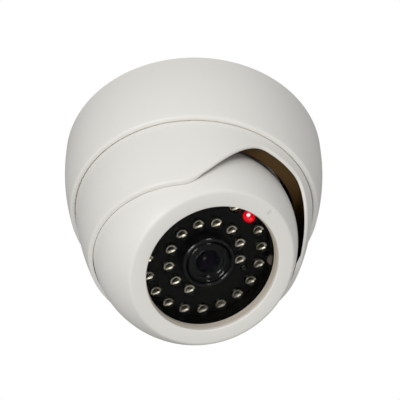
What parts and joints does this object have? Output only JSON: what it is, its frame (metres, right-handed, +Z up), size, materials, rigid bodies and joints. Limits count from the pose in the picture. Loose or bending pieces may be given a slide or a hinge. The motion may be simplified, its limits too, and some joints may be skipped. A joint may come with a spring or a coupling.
{
  "type": "dome cctv camera",
  "caption": "Ceiling dome camera: round base, panning cover with a scooped mouth, tilting eyeball with lens, ringed infrared lamps and a red indicator.",
  "frame": {"origin": "centre of the face that meets the ceiling", "axes": "+Z up into the ceiling along the pan axis; the mouth and the forward tilt face -Y; X is the tilt axis"},
  "size_m": [0.12, 0.12, 0.0941],
  "materials": {
    "shell_plastic": "satin moulded ivory plastic",
    "plate_plastic": "moulded plastic",
    "inner_plastic": "dark moulded plastic",
    "liner_plastic": "brown moulded plastic",
    "clip_plastic": "moulded plastic",
    "black_plastic": "matt black",
    "lens_plastic": "satin black",
    "rubber": "matt",
    "felt_ring": "low-friction liner",
    "window_glass": "clear polycarbonate",
    "lens_glass": "coated dark glass",
    "lamp_epoxy": "clear epoxy",
    "indicator_epoxy": "red epoxy, lit",
    "sensor_epoxy": "clear epoxy",
    "board": "green solder mask",
    "chip_plastic": "moulded black",
    "connector_plastic": "natural nylon",
    "terminal_plastic": "blue moulded plastic",
    "capacitor_sleeve": "shrink sleeve",
    "steel": "zinc plated",
    "arm_steel": "blackened",
    "brass": "turned"
  },
  "bodies": {
    "base": {"mount_plate": "plate_plastic", "base_housing": "shell_plastic", "lock_screw": "steel", "cable_grommet": "rubber", "friction_ring": "felt_ring", "power_board": "board", "terminal_block": "terminal_plastic", "filter_capacitor": "capacitor_sleeve", "regulator": "chip_plastic", "power_board_screws": "steel"},
    "turntable": {"pan_ring": "inner_plastic", "dome_cover": "shell_plastic", "cover_liner": "liner_plastic", "cover_screws": "steel", "tilt_arm_left": "arm_steel", "tilt_arm_right": "arm_steel", "arm_screws": "arm_steel", "tilt_pin_left": "steel", "tilt_pin_right": "steel"},
    "eyeball": {"front_shell": "shell_plastic", "rear_shell": "inner_plastic", "shell_screws": "steel", "window": "window_glass", "window_gasket": "rubber", "cup_clip": "clip_plastic", "lamp_shroud": "black_plastic", "ir_baffle": "rubber", "lamp_board": "board", "lamp_board_screws": "steel", "outer_lamps": "lamp_epoxy", "inner_lamps": "lamp_epoxy", "indicator_lamp": "indicator_epoxy", "light_sensor": "sensor_epoxy", "standoffs": "brass", "standoff_screws": "steel", "sensor_board": "board", "image_sensor": "chip_plastic", "processor_chip": "chip_plastic", "board_connector": "connector_plastic", "lamp_connector": "connector_plastic", "lens_holder": "lens_plastic", "holder_screws": "steel"},
    "lens": {"lens_barrel": "lens_plastic", "lens_retainer": "lens_plastic", "front_element": "lens_glass"}
  },
  "joints": [
    {"name": "pan", "type": "hinge", "parent": "base", "child": "turntable", "pos_m": [0, 0, -0.0315], "axis": [0, 0, 1], "range_deg": [-170, 170]},
    {"name": "tilt", "type": "hinge", "parent": "turntable", "child": "eyeball", "pos_m": [0, 0, -0.055], "axis": [-1, 0, 0], "range_deg": [-23, 42]},
    {"name": "focus", "type": "hinge", "parent": "eyeball", "child": "lens", "pos_m": [0, 0, -0.055], "axis": [0, -0.3907, -0.9205], "range_deg": [-180, 180]}
  ]
}
